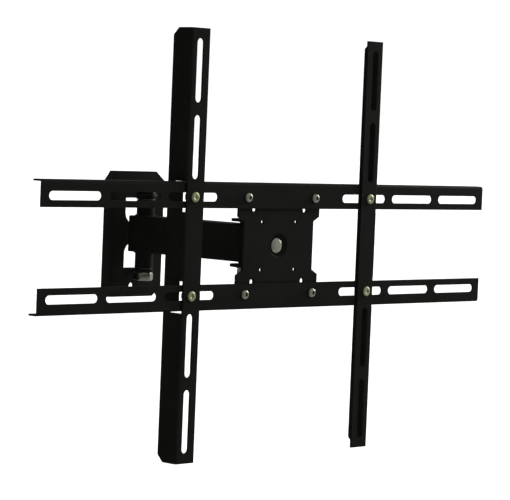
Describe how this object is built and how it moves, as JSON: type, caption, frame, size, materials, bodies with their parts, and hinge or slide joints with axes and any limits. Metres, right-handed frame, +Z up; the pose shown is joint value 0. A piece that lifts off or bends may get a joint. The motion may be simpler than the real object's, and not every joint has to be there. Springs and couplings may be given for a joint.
{
  "type": "full motion television wall mount",
  "caption": "Full motion television wall mount: a wall plate, a swivelling box arm and a tilting head plate that carries slotted rails and slotted uprights.",
  "frame": {"origin": "on the wall plate's back face, in the plane of the wall and in line with the arm", "axes": "+Z up, +Y into the wall, +X to the right for a viewer who faces the wall"},
  "size_m": [0.6536, 0.2368, 0.44],
  "materials": {
    "black_steel": "fine textured black powder coat",
    "zinc": "bright grey zinc plating",
    "yellow_zinc": "olive passivated zinc plating",
    "nylon": "matt moulded nylon"
  },
  "bodies": {
    "wall_bracket": {"wall_plate": "black_steel", "wall_pivot_bolt": "black_steel", "wall_pivot_upper_washer": "black_steel", "wall_pivot_nut": "zinc"},
    "arm": {"arm_tube": "black_steel", "wall_pivot_barrel": "black_steel", "wall_pivot_upper_bush": "nylon", "wall_pivot_lower_bush": "nylon", "head_pivot_barrel": "black_steel", "head_pivot_upper_bush": "nylon", "head_pivot_lower_bush": "nylon"},
    "swivel_head": {"head_clevis": "black_steel", "tilt_front_seat": "nylon", "tilt_rear_seat": "nylon", "head_pivot_bolt": "zinc", "head_pivot_upper_washer": "zinc", "head_pivot_lower_washer": "zinc", "head_pivot_nut": "zinc"},
    "tilt_screw": {"tilt_bolt": "zinc", "tilt_dished_washer": "zinc", "tilt_spring_washer": "zinc", "tilt_nut": "zinc"},
    "television_frame": {"head_plate": "black_steel", "upper_rail": "black_steel", "lower_rail": "black_steel", "plate_screw_upper_left": "zinc", "plate_screw_upper_right": "zinc", "plate_screw_lower_left": "zinc", "plate_screw_lower_right": "zinc", "plate_nut_upper_left": "zinc", "plate_nut_upper_right": "zinc", "plate_nut_lower_left": "zinc", "plate_nut_lower_right": "zinc"},
    "left_slider": {"left_upright": "black_steel", "left_upright_screw_upper": "yellow_zinc", "left_upright_screw_lower": "yellow_zinc", "left_upright_washer_upper": "zinc", "left_upright_washer_lower": "zinc", "left_upright_nut_upper": "zinc", "left_upright_nut_lower": "zinc"},
    "right_slider": {"right_upright": "black_steel", "right_upright_screw_upper": "yellow_zinc", "right_upright_screw_lower": "yellow_zinc", "right_upright_washer_upper": "zinc", "right_upright_washer_lower": "zinc", "right_upright_nut_upper": "zinc", "right_upright_nut_lower": "zinc"}
  },
  "joints": [
    {"name": "arm_swing", "type": "hinge", "parent": "wall_bracket", "child": "arm", "pos_m": [0, -0.0226, 0], "axis": [0, 0, 1], "range_deg": [-90, 90]},
    {"name": "head_swivel", "type": "hinge", "parent": "arm", "child": "swivel_head", "pos_m": [0, -0.1826, 0], "axis": [0, 0, 1], "range_deg": [-80, 80]},
    {"name": "tilt", "type": "hinge", "parent": "swivel_head", "child": "tilt_screw", "pos_m": [0, -0.24088, 0.0013], "axis": [1, 0, 0], "range_deg": [-10, 10]},
    {"name": "level", "type": "hinge", "parent": "tilt_screw", "child": "television_frame", "pos_m": [0, -0.24088, 0.0013], "axis": [0, 1, 0], "range_deg": [-5, 5]},
    {"name": "left_upright_slide", "type": "slide", "parent": "television_frame", "child": "left_slider", "axis": [1, 0, 0], "range_m": [-0.026, 0.026]},
    {"name": "right_upright_slide", "type": "slide", "parent": "television_frame", "child": "right_slider", "axis": [1, 0, 0], "range_m": [-0.026, 0.025]}
  ]
}
